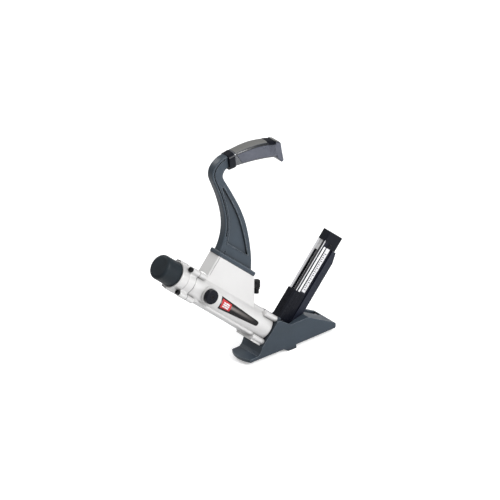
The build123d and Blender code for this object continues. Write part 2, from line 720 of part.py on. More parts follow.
def magazine_rails():
    bottom, top = PUSHER_BOTTOM - 1, MAG_TOP - 1
    strips = [block(MAG_REAR - RAIL_T, MAG_REAR, RAIL_INNER_Y, MAG_HALF_Y, bottom, top),
              block(MAG_REAR - RAIL_T, MAG_REAR, -MAG_HALF_Y, -RAIL_INNER_Y, bottom, top)]
    return group(strips)


def magazine_end_cap():
    cap = slab(MAG_CAP_REAR, MAG_CAP_FRONT, 13.4, MAG_CAP_BOTTOM, MAG_CAP_TOP)
    cap -= slab(MAG_CAP_REAR - 1, MAG_REAR + 10, 14, MAG_CAP_BOTTOM - 1, MAG_CAP_STEP)
    rear_uprights = [e for e in cap.edges().filter_by(Axis.Z) if e.center().X < MAG_CAP_REAR + 1]
    cap = chamfer(rear_uprights, 4.5)
    cap = fillet(cap.edges().group_by(Axis.Z)[-1], 1.2)
    cap -= slab(MAG_REAR - RAIL_T - 0.1, -16.9, MAG_HALF_Y + 0.05, MAG_CAP_BOTTOM - 1, MAG_TOP + 0.1)
    for side in (-1, 1):
        cap -= rod_y(1.75, min(side * 30, side * 10), max(side * 30, side * 10), -36, 233)
    return cap


def cap_screws():
    screw = socket_screw(1.55, 2.9, 1.6, 5.0, 1.3)
    return group([Pos(-36, -13.4, 233) * Rot(-90, 0, 0) * screw,
                  Pos(-36, 13.4, 233) * Rot(90, 0, 0) * screw])


def magazine_label():
    return block(MAG_LABEL_REAR, MAG_LABEL_FRONT, -MAG_HALF_Y - 0.25, -MAG_HALF_Y, 113, 225)


def spring_anchor():
    anchor = slab(MAG_REAR - 1.2, SPRING_X + 5, RAIL_INNER_Y - 0.1, ANCHOR_BOTTOM, MAG_TOP - 2)
    return anchor - rod_z(ROD_R + 0.02, ANCHOR_BOTTOM - 1, MAG_TOP, SPRING_X)


def spring_rod():
    return rod_z(ROD_R, 22, MAG_TOP - 3, SPRING_X)


def pusher_spring():
    start = SHOE_TOP + 0.7
    length = ANCHOR_BOTTOM - start - 0.7
    return Pos(SPRING_X, 0, start) * coil(2.9, 1.0, 4.0, length)


def pusher_carriage():
    inner_y = MAG_HALF_Y + 0.4
    lip_rear, lip_front, lip_y = MAG_GROOVE_REAR + 0.2, -26.8, MAG_GROOVE_HALF_Y + 0.2
    outer = slab(PUSHER_REAR, lip_front, PUSHER_HALF_Y, PUSHER_BOTTOM, PUSHER_TOP)
    rear_uprights = [e for e in outer.edges().filter_by(Axis.Z) if e.center().X < PUSHER_REAR + 1]
    outer = chamfer(rear_uprights, 3.0)
    outer -= slab(MAG_REAR - RAIL_T - 0.2, lip_rear, inner_y, PUSHER_BOTTOM - 1, PUSHER_TOP + 1)
    outer -= slab(lip_rear - 1, lip_front + 1, lip_y, PUSHER_BOTTOM - 1, PUSHER_TOP + 1)
    for y in (-8, -4, 0, 4, 8):
        outer -= block(PUSHER_REAR - 1, PUSHER_REAR + 0.9, y - 0.9, y + 0.9, PUSHER_BOTTOM + 5, PUSHER_TOP - 5)
    for x in (-50, -43, -36):
        for side in (-1, 1):
            near, far = sorted((side * (PUSHER_HALF_Y - 0.6), side * (PUSHER_HALF_Y + 1)))
            outer -= block(x - 0.9, x + 0.9, near, far, PUSHER_BOTTOM + 5, PUSHER_TOP - 5)
    return outer


def feed_shoe():
    half_y = RAIL_INNER_Y - 0.15
    shoe = slab(MAG_REAR + 1, -8, half_y, SHOE_BOTTOM, 44)
    shoe += slab(MAG_REAR - RAIL_T - 0.2, SPRING_X + 5, half_y, PUSHER_BOTTOM + 1, SHOE_TOP)
    shoe -= rod_z(ROD_R + RUN, 0, SHOE_TOP + 1, SPRING_X)
    return shoe


# ---------------------------------------------------------------------------------------------
# handle (row frame, apart from its flange)
# ---------------------------------------------------------------------------------------------
def on_flange(x):
    """Row-frame (x, z) of a point on top of the flange, from its place along the barrel."""
    z = NECK_TOP + GASKET_T + FLANGE_T
    return ((x + z) / ROOT2, (z - x) / ROOT2)


def inset(points, distance):
    """The points moved to the right of their line of travel."""
    moved = []
    for i, (x, z) in enumerate(points):
        before, after = points[max(i - 1, 0)], points[min(i + 1, len(points) - 1)]
        dx, dz = after[0] - before[0], after[1] - before[1]
        length = sqrt(dx * dx + dz * dz)
        moved.append((x + distance * dz / length, z - distance * dx / length))
    return moved


def rear_groove():
    """Face of the groove that sets off the arm's rear rim, from the flange over the bend."""
    near, far = inset(ARM_REAR, 4.0), inset(ARM_REAR, 7.0)
    sides = [Spline(*near), Line(near[-1], far[-1]), Spline(*reversed(far)), Line(far[0], near[0])]
    return Plane.XZ * make_face(sides)


def arm_face():
    rear_foot, front_foot = on_flange(-312.5), on_flange(-201.0)
    rear = Spline(rear_foot, *ARM_REAR, (ARM_END_X, 512))
    tip = Line((ARM_END_X, 512), (ARM_END_X, 484))
    front = Spline((ARM_END_X, 484), (-113, 480), (-120.5, 470), (-116, 450), (-100, 413),
                   (-86, 376), (-75, 335), (-69.5, 285), (-69.5, 240), front_foot)
    base = Line(front_foot, rear_foot)
    return Plane.XZ * make_face([rear, tip, front, base])


def shifted(point, dx, dz):
    return (point[0] + dx, point[1] + dz)


def arm_panel(grow=0.0):
    """Outline of the recessed panel on either side of the arm, moved outwards by grow."""
    rear, front = inset(PANEL_REAR, -grow), inset(PANEL_FRONT, -grow)
    rear[0], front[-1] = shifted(rear[0], 0, -grow * ROOT2), shifted(front[-1], 0, -grow * ROOT2)
    rear[-1], front[0] = shifted(rear[-1], 0, grow), shifted(front[0], 0, grow)
    sides = [Spline(*rear), Line(rear[-1], front[0]), Spline(*front), Line(front[-1], rear[0])]
    return Plane.XZ * make_face(sides)


def both_sides(face, y0, y1):
    """A face extruded between y0 and y1, on both sides of the arm."""
    solid = extrude(face, amount=y1 - y0, dir=(0, 1, 0))
    return (Pos(0, y0, 0) * solid) + (Pos(0, -y1, 0) * solid)


def handle_arm():
    arm = extrude(arm_face(), amount=ARM_HALF_Y, both=True)
    long_edges = [e for e in arm.edges() if abs(abs(e.center().Y) - ARM_HALF_Y) < 0.01
                  and e.length > 60 and e.geom_type != GeomType.LINE]
    arm = fillet(long_edges, 3.0)
    bead_width, bead_height = 2.4, 0.9
    arm += both_sides(arm_panel(bead_width), ARM_HALF_Y - 2, ARM_HALF_Y + bead_height)
    arm -= both_sides(arm_panel(), ARM_HALF_Y - PANEL_DEPTH, ARM_HALF_Y + bead_height + 1)
    arm -= both_sides(rear_groove(), ARM_HALF_Y - 2.4, ARM_HALF_Y + 1)
    arm += row(handle_flange())
    arm += grip_core(CORE_HALF, CORE_HALF, ARM_END_X - 2, 28)
    arm -= row(slab(-290, -215, 6.5, NECK_TOP, NECK_TOP + 34))
    seat = NECK_TOP + GASKET_T + SCREW_SEAT_H
    key_room = 12.0
    for x in HANDLE_SCREW_X:
        for y in (-HANDLE_SCREW_Y, HANDLE_SCREW_Y):
            arm -= row(rod_z(M5_HEAD_R + 0.3, seat, seat + key_room, x, y))
    return arm - rod_x(2.5, 18, 29, 0, GRIP_SCREW_Z)


def handle_flange():
    z0 = NECK_TOP + GASKET_T
    middle, length = (FLANGE_REAR + FLANGE_FRONT) / 2, FLANGE_FRONT - FLANGE_REAR
    plate = Pos(middle, 0, z0) * extrude(RectangleRounded(length, 2 * FLANGE_HALF_Y, 6), amount=FLANGE_T)
    plate = chamfer(plate.edges().group_by(Axis.Z)[-1], 1.5)
    for x in HANDLE_SCREW_X:
        for y in (-HANDLE_SCREW_Y, HANDLE_SCREW_Y):
            plate -= rod_z(2.75, z0 - 1, z0 + FLANGE_T + 1, x, y)
    return plate


def handle_gasket():
    middle, length = (FLANGE_REAR + FLANGE_FRONT) / 2 + 0.5, FLANGE_FRONT - FLANGE_REAR - 3
    gasket = Pos(middle, 0, NECK_TOP) * extrude(RectangleRounded(length, 38, 5), amount=GASKET_T)
    gasket -= slab(-290, -215, 6.5, NECK_TOP - 1, NECK_TOP + 2)
    for x in HANDLE_SCREW_X:
        for y in (-HANDLE_SCREW_Y, HANDLE_SCREW_Y):
            gasket -= rod_z(2.75, NECK_TOP - 1, NECK_TOP + 2, x, y)
    return gasket


def handle_screws():
    seat_z = NECK_TOP + GASKET_T + SCREW_SEAT_H
    screw = Rot(180, 0, 0) * socket_screw(M5_R, M5_HEAD_R, M5_HEAD_H, 20, 2.3)
    return group(Pos(x, y, seat_z) * screw
                 for x in HANDLE_SCREW_X for y in (-HANDLE_SCREW_Y, HANDLE_SCREW_Y))


def grip_middle(x):
    """Height of the grip's middle line at x, between its stations."""
    for (x0, z0, _, _), (x1, z1, _, _) in zip(GRIP_STATIONS, GRIP_STATIONS[1:]):
        if x <= x1:
            break
    return z0 + (z1 - z0) * (x - x0) / (x1 - x0)


def grip_core(half_y, half_z, x0, x1):
    """Bar of square section that follows the grip's middle line."""
    stops = [x0] + [s[0] for s in GRIP_STATIONS if x0 + 4 < s[0] < x1 - 4] + [x1]
    top = [(x, grip_middle(x) + half_z) for x in stops]
    low = [(x, grip_middle(x) - half_z) for x in reversed(stops)]
    return side_plate(top + low, half_y)


def grip_loft(first, last):
    faces = []
    for x, z, height, width in GRIP_STATIONS[first:last + 1]:
        section = Plane.YZ * RectangleRounded(width, height, GRIP_CORNER_R)
        faces.append(Pos(x, 0, z) * section)
    return loft(faces) - grip_core(CORE_HALF + 0.05, CORE_HALF + 0.05, ARM_END_X - 5, 30)


def grip_ring():
    return grip_loft(0, 1)


def behind_seam(shift):
    """Everything behind the slanted seam between the collar and the sleeve."""
    top, low = (SEAM_TOP_X + shift, 520), (SEAM_LOW_X + shift, 475)
    return side_plate([(-140, 520), top, low, (SEAM_LOW_X + shift, 440), (-140, 440)], 40)


def grip_collar():
    return grip_loft(2, 7) & behind_seam(0)


def grip_sleeve():
    seam_width = 0.8
    return grip_loft(2, 7) - behind_seam(seam_width)


def grip_hook():
    x, z, height, width = GRIP_STATIONS[-1]
    outline = [(x, z + height / 2), (33, 498.5), (37.5, 493), (38.5, 472), (40.5, 450), (39, 446.5),
               (34.5, 445.5), (27, 455), (x, z - height / 2)]
    hook = side_plate(outline, width / 2)
    across = [e for e in hook.edges().filter_by(Axis.Y) if e.center().X > x + 1]
    hook = fillet(across, 1.6)
    rim = [e for e in hook.edges() if abs(abs(e.center().Y) - width / 2) < 0.01 and e.center().X > x + 0.5]
    hook = fillet(rim, 3.0)
    hook -= grip_core(CORE_HALF + 0.05, CORE_HALF + 0.05, 10, 28.1)
    hook -= rod_x(2.6, 20, 60, 0, GRIP_SCREW_Z)
    return hook - rod_x(5.0, GRIP_SCREW_SEAT, 60, 0, GRIP_SCREW_Z)


def grip_screw():
    screw = Rot(0, -90, 0) * socket_screw(2.45, 4.6, 3.5, 12, 2.3)
    return Pos(GRIP_SCREW_SEAT, 0, GRIP_SCREW_Z) * screw


# ---------------------------------------------------------------------------------------------
# air inlet (local frame: x out of the neck's front face)
# ---------------------------------------------------------------------------------------------
def inlet_bushing():
    part = rod_x(7.0, -20, 0)
    part += extrude(Plane.YZ * RegularPolygon(9.5, 6), amount=5)
    return part - rod_x(SPIGOT_R + RUN, -21, 6)


def inlet_elbow():
    elbow = rod_x(SPIGOT_R, -12, 5.3) + rod_x(7.5, 5.3, ELBOW_REACH)
    head = rod_z(8.6, -8, 9, ELBOW_REACH)
    head = chamfer(head.edges().filter_by(GeomType.CIRCLE), 1.2)
    elbow += head
    elbow -= rod_x(3.0, -13, ELBOW_REACH)
    return elbow - rod_z(4.6, -9, 4.6, ELBOW_REACH)


def air_plug():
    plug = rod_z(4.5, -14, 4.0, ELBOW_REACH) + rod_z(7.4, -12, -8.1, ELBOW_REACH)
    plug += rod_z(5.8, -22, -12, ELBOW_REACH)
    plug -= rod_z(2.4, -25, 4, ELBOW_REACH)
    return plug


# ---------------------------------------------------------------------------------------------
# write every node
# ---------------------------------------------------------------------------------------------
TOOL_FRAME_PARTS = [
    barrel_housing, end_cap, end_cap_gasket, end_cap_screws, strike_cap, ram, ram_clip,
    strike_spring, cylinder_sleeve, sleeve_rings, bumper, valve_guide, head_valve,
    head_valve_seal, valve_spring, piston, piston_ring, driver_blade, blade_pin, exhaust_cover,
    exhaust_filter, exhaust_screw, body_label, badge, nose_back_plate, nose_front_plate,
    magazine_cheeks, cheek_screws, magazine_channel, magazine_front_cover, magazine_rails,
    magazine_end_cap, cap_screws, magazine_label, spring_anchor, spring_rod, pusher_spring,
    pusher_carriage, feed_shoe, handle_gasket, handle_screws,
]
ROW_FRAME_PARTS = [foot, foot_screws, foot_bolt, handle_arm, grip_ring, grip_collar, grip_sleeve,
                   grip_hook, grip_screw]
INLET_PARTS = [inlet_bushing, inlet_elbow, air_plug]

for make in TOOL_FRAME_PARTS:
    save(make.__name__, row(make()))
for make in ROW_FRAME_PARTS:
    save(make.__name__, make())
for make in INLET_PARTS:
    save(make.__name__, row(inlet_place() * make()))
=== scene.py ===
"""Looks for the flooring nailer: materials, labels, springs, soft grip, floor, light and camera.

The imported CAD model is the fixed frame. Lengths are metres in the row frame. The tool frame
(b along the barrel towards the nose, y, m along the magazine) is the row frame turned about Y.
"""
import json
import math

import bpy
from mathutils import Matrix, Vector
from mathutils.bvhtree import BVHTree


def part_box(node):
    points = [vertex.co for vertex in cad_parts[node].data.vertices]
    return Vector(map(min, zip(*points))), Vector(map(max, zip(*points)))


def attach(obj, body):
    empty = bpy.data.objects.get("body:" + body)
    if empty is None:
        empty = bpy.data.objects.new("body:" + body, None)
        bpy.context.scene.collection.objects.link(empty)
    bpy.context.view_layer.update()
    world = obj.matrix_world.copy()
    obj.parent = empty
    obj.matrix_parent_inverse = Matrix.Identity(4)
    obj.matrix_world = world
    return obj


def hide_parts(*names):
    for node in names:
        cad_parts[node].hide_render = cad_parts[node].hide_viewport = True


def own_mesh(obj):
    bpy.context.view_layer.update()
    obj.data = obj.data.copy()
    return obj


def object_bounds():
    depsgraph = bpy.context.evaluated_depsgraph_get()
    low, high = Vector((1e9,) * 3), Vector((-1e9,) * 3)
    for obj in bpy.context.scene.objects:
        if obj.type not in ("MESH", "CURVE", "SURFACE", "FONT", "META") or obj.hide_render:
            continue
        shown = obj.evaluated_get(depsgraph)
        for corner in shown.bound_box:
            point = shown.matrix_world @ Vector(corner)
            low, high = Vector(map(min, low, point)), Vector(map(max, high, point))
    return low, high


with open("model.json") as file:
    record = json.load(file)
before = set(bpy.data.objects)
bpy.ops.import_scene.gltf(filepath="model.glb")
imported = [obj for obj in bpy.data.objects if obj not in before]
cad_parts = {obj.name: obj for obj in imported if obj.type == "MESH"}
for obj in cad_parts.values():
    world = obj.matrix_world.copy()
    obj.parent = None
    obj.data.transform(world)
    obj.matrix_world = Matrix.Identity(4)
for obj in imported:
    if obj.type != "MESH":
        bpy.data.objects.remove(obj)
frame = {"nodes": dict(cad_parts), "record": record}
CAD_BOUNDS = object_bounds()
NODES = frame["nodes"]
MM = 0.001
HALF = math.sqrt(0.5)


# ------------------------------------------------------------------------------------------
# frames
# ------------------------------------------------------------------------------------------
def tool_point(b, y, m):
    """Row-frame point of a tool-frame place."""
    return Vector(((b + m) * HALF, y, (m - b) * HALF))


def tool_box(node):
    """Lowest and highest (b, y, m) of a CAD node."""
    points = [((v.co.x - v.co.z) * HALF, v.co.y, (v.co.x + v.co.z) * HALF)
              for v in NODES[node].data.vertices]
    columns = list(zip(*points))
    return Vector(min(c) for c in columns), Vector(max(c) for c in columns)


B_AXIS = tool_point(1, 0, 0)
M_AXIS = tool_point(0, 0, 1)
Y_AXIS = Vector((0, 1, 0))


# ------------------------------------------------------------------------------------------
# node materials
# ------------------------------------------------------------------------------------------
class Nodes:
    """A small helper that makes and joins the nodes of one material."""

    def __init__(self, name):
        self.material = bpy.data.materials.new(name)
        self.material.use_nodes = True
        self.tree = self.material.node_tree
        self.tree.nodes.clear()
        self.coords = self.add("ShaderNodeTexCoord").outputs["Object"]

    def add(self, kind, **values):
        node = self.tree.nodes.new(kind)
        for key, value in values.items():
            setattr(node, key, value)
        return node

    def link(self, source, target):
        self.tree.links.new(source, target)

    def feed(self, target, value):
        """Links a socket, or sets a plain value."""
        if isinstance(value, bpy.types.NodeSocket):
            self.link(value, target)
        else:
            target.default_value = value

    def math(self, operation, a, b=0.0, clamp=False):
        node = self.add("ShaderNodeMath", operation=operation, use_clamp=clamp)
        self.feed(node.inputs[0], a)
        self.feed(node.inputs[1], b)
        return node.outputs[0]

    def spread(self, value, low, high, to_low=0.0, to_high=1.0):
        """Maps low..high to to_low..to_high, held at both ends."""
        node = self.add("ShaderNodeMapRange")
        self.feed(node.inputs["Value"], value)
        ends = {"From Min": low, "From Max": high, "To Min": to_low, "To Max": to_high}
        for key, number in ends.items():
            node.inputs[key].default_value = number
        return node.outputs["Result"]

    def mix(self, factor, a, b):
        node = self.add("ShaderNodeMix", data_type="RGBA")
        self.feed(node.inputs["Factor"], factor)
        self.feed(node.inputs["A"], a)
        self.feed(node.inputs["B"], b)
        return node.outputs["Result"]

    def along(self, axis):
        """Distance from the origin along an axis, in metres."""
        node = self.add("ShaderNodeVectorMath", operation="DOT_PRODUCT")
        self.link(self.coords, node.inputs[0])
        node.inputs[1].default_value = tuple(axis)
        return node.outputs["Value"]

    def band(self, value, centre, half_width, soft):
        """1 within half_width of centre, falling to 0 over soft."""
        away = self.math("ABSOLUTE", self.math("SUBTRACT", value, centre))
        return self.spread(away, half_width, half_width + soft, 1.0, 0.0)

    def noise(self, scale, detail=3.0, stretch=(1, 1, 1), turn=0.0, roughness=0.55):
        mapping = self.add("ShaderNodeMapping")
        mapping.inputs["Scale"].default_value = stretch
        mapping.inputs["Rotation"].default_value = (0, turn, 0)
        self.link(self.coords, mapping.inputs["Vector"])
        node = self.add("ShaderNodeTexNoise")
        node.inputs["Scale"].default_value = scale
        node.inputs["Detail"].default_value = detail
        node.inputs["Roughness"].default_value = roughness
        self.link(mapping.outputs["Vector"], node.inputs["Vector"])
        return node.outputs["Fac"]

    def edges(self, radius):
        """0 on flat ground, rising to 1 on convex and concave edges."""
        bevel = self.add("ShaderNodeBevel", samples=4)
        bevel.inputs["Radius"].default_value = radius
        geometry = self.add("ShaderNodeNewGeometry")
        dot = self.add("ShaderNodeVectorMath", operation="DOT_PRODUCT")
        self.link(bevel.outputs["Normal"], dot.inputs[0])
        self.link(geometry.outputs["Normal"], dot.inputs[1])
        return self.spread(dot.outputs["Value"], 0.995, 0.90), bevel.outputs["Normal"]

    def hollows(self, reach):
        """1 in the open, falling towards 0 in grooves and inside corners."""
        node = self.add("ShaderNodeAmbientOcclusion", samples=6, only_local=False)
        node.inputs["Distance"].default_value = reach
        return node.outputs["AO"]

    def bump(self, height, strength, distance, normal=None):
        node = self.add("ShaderNodeBump")
        node.inputs["Strength"].default_value = strength
        node.inputs["Distance"].default_value = distance
        self.link(height, node.inputs["Height"])
        if normal is not None:
            self.link(normal, node.inputs["Normal"])
        return node.outputs["Normal"]

    def surface(self, **values):
        shader = self.add("ShaderNodeBsdfPrincipled")
        for key, value in values.items():
            self.feed(shader.inputs[key.replace("_", " ")], value)
        out = self.add("ShaderNodeOutputMaterial")
        self.link(shader.outputs["BSDF"], out.inputs["Surface"])
        return self.material


# Painted shade: near-black that is mixed into hollows and inside corners.
HOLLOW_SHADE = (0.004, 0.004, 0.005, 1)
DUST = (0.55, 0.52, 0.48, 1)
GRAIN_DEPTH = 0.2 * MM
NOISE_LOW, NOISE_HIGH = 0.3, 0.7


def rgba(color, gain=1.0):
    return tuple(min(1.0, c * gain) for c in color) + (1.0,)


def finish(name, color, rough, metallic=0.0, blotch=0.08, blotch_scale=14, grain=0.12,
           grain_scale=900, edge=0.0006, wear_and_highlight=0.0, wear_and_highlight_color=(0.5, 0.5, 0.5), brush=None,
           coat=0.0, rough_spread=0.08, dust=0.0, specular=0.5, shade=0.5, reach=0.010):
    """Painted, moulded or machined surface: blotchy tone, fine grain, softened edges lightened by
    wear and a painted highlight, and painted shade in hollows.

    edge is the bevel's radius. shade is how strongly the painted shade darkens hollows that are
    narrower than reach.
    """
    n = Nodes(name)
    patches = n.noise(blotch_scale, 4.0)
    tone = n.spread(patches, NOISE_LOW, NOISE_HIGH)
    base = n.mix(tone, rgba(color, 1 - blotch), rgba(color, 1 + blotch))
    edge_mask, soft_normal = n.edges(edge)
    open_air = n.hollows(reach)
    # Convex edges lightened: partly wear, partly a painted highlight along the edges.
    if wear_and_highlight > 0:
        breakup = n.spread(n.noise(160, 5.0), 0.40, 0.60, 0.45, 1.0)
        outer_edge = n.math("MULTIPLY", edge_mask, n.spread(open_air, 0.55, 0.80))
        worn_and_highlit = n.math("MULTIPLY", n.math("MULTIPLY", outer_edge, breakup), wear_and_highlight, clamp=True)
        base = n.mix(worn_and_highlit, base, rgba(wear_and_highlight_color))
    if dust > 0:
        specks = n.math("MULTIPLY", n.spread(n.noise(420, 6.0), 0.60, 0.78), dust)
        base = n.mix(specks, base, DUST)
    # Painted shade: hollows and inside corners darkened towards near-black.
    base = n.mix(n.spread(open_air, 0.25, 0.9, 1 - shade, 1.0), HOLLOW_SHADE, base)
    if brush is not None:
        fine = n.noise(grain_scale, 2.0, stretch=brush[0], turn=brush[1])
    else:
        fine = n.noise(grain_scale, 2.0)
    normal = n.bump(fine, grain, GRAIN_DEPTH, soft_normal)
    smooth, dull = max(0.02, rough - rough_spread), min(1.0, rough + rough_spread)
    roughness = n.spread(patches, NOISE_LOW, NOISE_HIGH, smooth, dull)
    return n.surface(Base_Color=base, Roughness=roughness, Metallic=metallic, Normal=normal,
                     Coat_Weight=coat, Coat_Roughness=0.15, Specular_IOR_Level=specular)


ALONG_BARREL = ((1, 14, 14), math.radians(-45))
ALONG_MAGAZINE = ((14, 14, 1), math.radians(-45))

FINISHES = {
    "silver_casting": dict(color=(0.66, 0.655, 0.65), rough=0.36, metallic=0.35, blotch=0.035,
                           grain=0.14, grain_scale=1100, edge=0.0012, coat=0.10, rough_spread=0.05,
                           specular=0.4, shade=0.62, reach=0.009, wear_and_highlight=0.5,
                           wear_and_highlight_color=(0.80, 0.80, 0.80)),
    # The dark casting's light edge colour is mostly a painted highlight along its convex edges.
    "dark_casting": dict(color=(0.036, 0.049, 0.064), rough=0.40, blotch=0.10, grain=0.22,
                         grain_scale=1300, edge=0.0018, wear_and_highlight=1.0, wear_and_highlight_color=(0.20, 0.23, 0.26),
                         dust=0.03, specular=0.30, shade=0.88, reach=0.016),
    "black_plastic": dict(color=(0.005, 0.006, 0.010), rough=0.30, grain=0.15, grain_scale=1500,
                          edge=0.0010, wear_and_highlight=0.5, wear_and_highlight_color=(0.06, 0.06, 0.08), specular=0.14),
    "strike_plastic": dict(color=(0.012, 0.018, 0.023), rough=0.50, grain=0.30, grain_scale=800,
                           blotch=0.18, blotch_scale=40, edge=0.0016, wear_and_highlight=0.5,
                           wear_and_highlight_color=(0.06, 0.065, 0.07), dust=0.03, specular=0.20),
    "grip_plastic": dict(color=(0.07, 0.075, 0.085), rough=0.20, grain=0.14, grain_scale=1500,
                         edge=0.0008, blotch=0.08, coat=0.4, shade=0.8),
    "seal_rubber": dict(color=(0.02, 0.02, 0.022), rough=0.60, grain=0.20, grain_scale=900),
    "gasket": dict(color=(0.03, 0.03, 0.033), rough=0.75, grain=0.45, grain_scale=700, blotch=0.2),
    "steel": dict(color=(0.60, 0.60, 0.61), rough=0.27, metallic=1.0, grain=0.16, grain_scale=420,
                  brush=ALONG_MAGAZINE, edge=0.0003, blotch=0.06),
    "spring_steel": dict(color=(0.32, 0.32, 0.34), rough=0.30, metallic=1.0, grain=0.1, blotch=0.1),
    "black_steel": dict(color=(0.004, 0.004, 0.005), rough=0.30, grain=0.08, wear_and_highlight=0.5,
                        wear_and_highlight_color=(0.12, 0.12, 0.13), specular=0.18),
    "aluminium": dict(color=(0.90, 0.90, 0.91), rough=0.30, metallic=1.0, grain=0.14,
                      grain_scale=420, brush=ALONG_BARREL, edge=0.0004),
    "magazine_paint": dict(color=(0.008, 0.009, 0.017), rough=0.28, grain=0.10,
                           brush=ALONG_MAGAZINE, edge=0.0010, wear_and_highlight=0.6,
                           wear_and_highlight_color=(0.10, 0.10, 0.14), specular=0.20),
    "cover_paint": dict(color=(0.014, 0.017, 0.028), rough=0.30, grain=0.10,
                        brush=ALONG_MAGAZINE, edge=0.0010, wear_and_highlight=0.6,
                        wear_and_highlight_color=(0.10, 0.11, 0.15), specular=0.22),
    "badge_red": dict(color=(0.50, 0.010, 0.016), rough=0.28, grain=0.03, blotch=0.05, coat=0.2),
    "label_white": dict(color=(0.74, 0.74, 0.76), rough=0.38, grain=0.04, blotch=0.03),
    "sintered_bronze": dict(color=(0.36, 0.26, 0.14), rough=0.55, metallic=0.9, grain=0.7,
                            grain_scale=1800),
}


def label_film():
    """Gloss black film with a painted reflection: a grey streak that fades towards the tip."""
    n = Nodes("label_black")
    black, reflection_grey = (0.003, 0.003, 0.004, 1), (0.55, 0.50, 0.47, 1)
    reflection_start, reflection_end = tool_box("badge")[1].x, tool_box("body_label")[1].x - 12 * MM
    fade = n.spread(n.along(B_AXIS), reflection_start, reflection_end, 0.42, 0.0)
    # Painted reflection: a grey band along the film, fading from the badge towards the tip.
    reflection_streak = n.math("MULTIPLY", n.band(n.along(M_AXIS), 1.5 * MM, 0.8 * MM, 4.5 * MM), fade)
    gloss = n.spread(n.noise(60), NOISE_LOW, NOISE_HIGH, 0.2, 0.3)
    return n.surface(Base_Color=n.mix(reflection_streak, black, reflection_grey), Roughness=gloss,
                     Specular_IOR_Level=0.25, Normal=n.bump(n.noise(900), 0.03, GRAIN_DEPTH))


def grip_skin():
    """Moulded grip with painted light: a painted highlight on top, a painted dark reflection along
    its shoulders and painted shade underneath.
    """
    n = Nodes("grip_rubber")
    side_dark, side_pale = (0.056, 0.062, 0.083, 1), (0.080, 0.086, 0.112, 1)
    # Painted light: a pale colour for the highlight on top, a near-black for the dark reflection on
    # the shoulders and the shade underneath.
    top_highlight, shade_dark = (0.130, 0.130, 0.125, 1), (0.010, 0.011, 0.014, 1)
    patches = n.noise(26, 4.0)
    split = n.add("ShaderNodeSeparateXYZ")
    n.link(n.add("ShaderNodeNewGeometry").outputs["Normal"], split.inputs["Vector"])
    ragged = n.spread(patches, NOISE_LOW, NOISE_HIGH, -0.05, 0.05)
    upward = n.math("ADD", split.outputs["Z"], ragged)
    # Painted light by surface direction: highlight on upward faces, dark reflection on the
    # shoulders, shade underneath.
    shoulder_reflection = n.band(upward, 0.45, 0.17, 0.10)
    underside_shade = n.spread(upward, -0.30, -0.75)
    base = n.mix(n.spread(patches, NOISE_LOW, NOISE_HIGH), side_dark, side_pale)
    base = n.mix(n.spread(upward, 0.62, 0.80), base, top_highlight)
    base = n.mix(n.math("MAXIMUM", shoulder_reflection, underside_shade), base, shade_dark)
    # Painted shade: hollows darkened towards near-black.
    base = n.mix(n.spread(n.hollows(6 * MM), 0.25, 0.9, 0.25, 1.0), HOLLOW_SHADE, base)
    _, soft_normal = n.edges(1.2 * MM)
    normal = n.bump(n.noise(1600, 2.0), 0.22, GRAIN_DEPTH, soft_normal)
    roughness = n.spread(patches, NOISE_LOW, NOISE_HIGH, 0.26, 0.40)
    return n.surface(Base_Color=base, Roughness=roughness, Normal=normal, Coat_Weight=0.15,
                     Coat_Roughness=0.2, Specular_IOR_Level=0.4)


def rail_steel():
    """Rails black on the near side but for a bright outer edge line, and bright on the far side."""
    n = Nodes("rail_steel")
    black, bright_steel = (0.012, 0.012, 0.016, 1), (0.80, 0.80, 0.82, 1)
    outer = tool_box("magazine_rails")[1].y
    across = n.along(Y_AXIS)
    edge = n.band(n.math("ABSOLUTE", across), outer, 0.9 * MM, 0.4 * MM)
    # Colour set by side: bright along the outer edges and on the far side, black elsewhere.
    bright = n.math("MAXIMUM", edge, n.spread(across, 0.0, 1 * MM))
    streaks = n.noise(420, 2.0, stretch=ALONG_MAGAZINE[0], turn=ALONG_MAGAZINE[1])
    return n.surface(Base_Color=n.mix(bright, black, bright_steel), Roughness=0.3,
                     Metallic=n.spread(bright, 0, 1, 0.3, 1.0),
                     Normal=n.bump(streaks, 0.15, GRAIN_DEPTH))


MATERIALS = {slot: finish(slot, **values) for slot, values in FINISHES.items()}
MATERIALS["label_black"] = label_film()
MATERIALS["grip_rubber"] = grip_skin()


def dress_cad_nodes():
    slots = {s["node"]: s["material_slot"] for s in frame["record"]["subparts"]}
    for node, obj in NODES.items():
        obj.data.materials.clear()
        obj.data.materials.append(MATERIALS[slots[node]])
    NODES["magazine_rails"].data.materials[0] = rail_steel()


dress_cad_nodes()


# ------------------------------------------------------------------------------------------
# mesh helpers
# ------------------------------------------------------------------------------------------
def piece(name, vertices, faces, slot, smooth=True):
    """A new object on the frame body, with one material."""
    mesh = bpy.data.meshes.new(name)
    mesh.from_pydata([tuple(v) for v in vertices], [], faces)
    mesh.update()
    obj = bpy.data.objects.new(name, mesh)
    bpy.context.scene.collection.objects.link(obj)
    mesh.materials.append(MATERIALS[slot])
    for polygon in mesh.polygons:
        polygon.use_smooth = smooth
    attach(obj, "frame")
    return obj


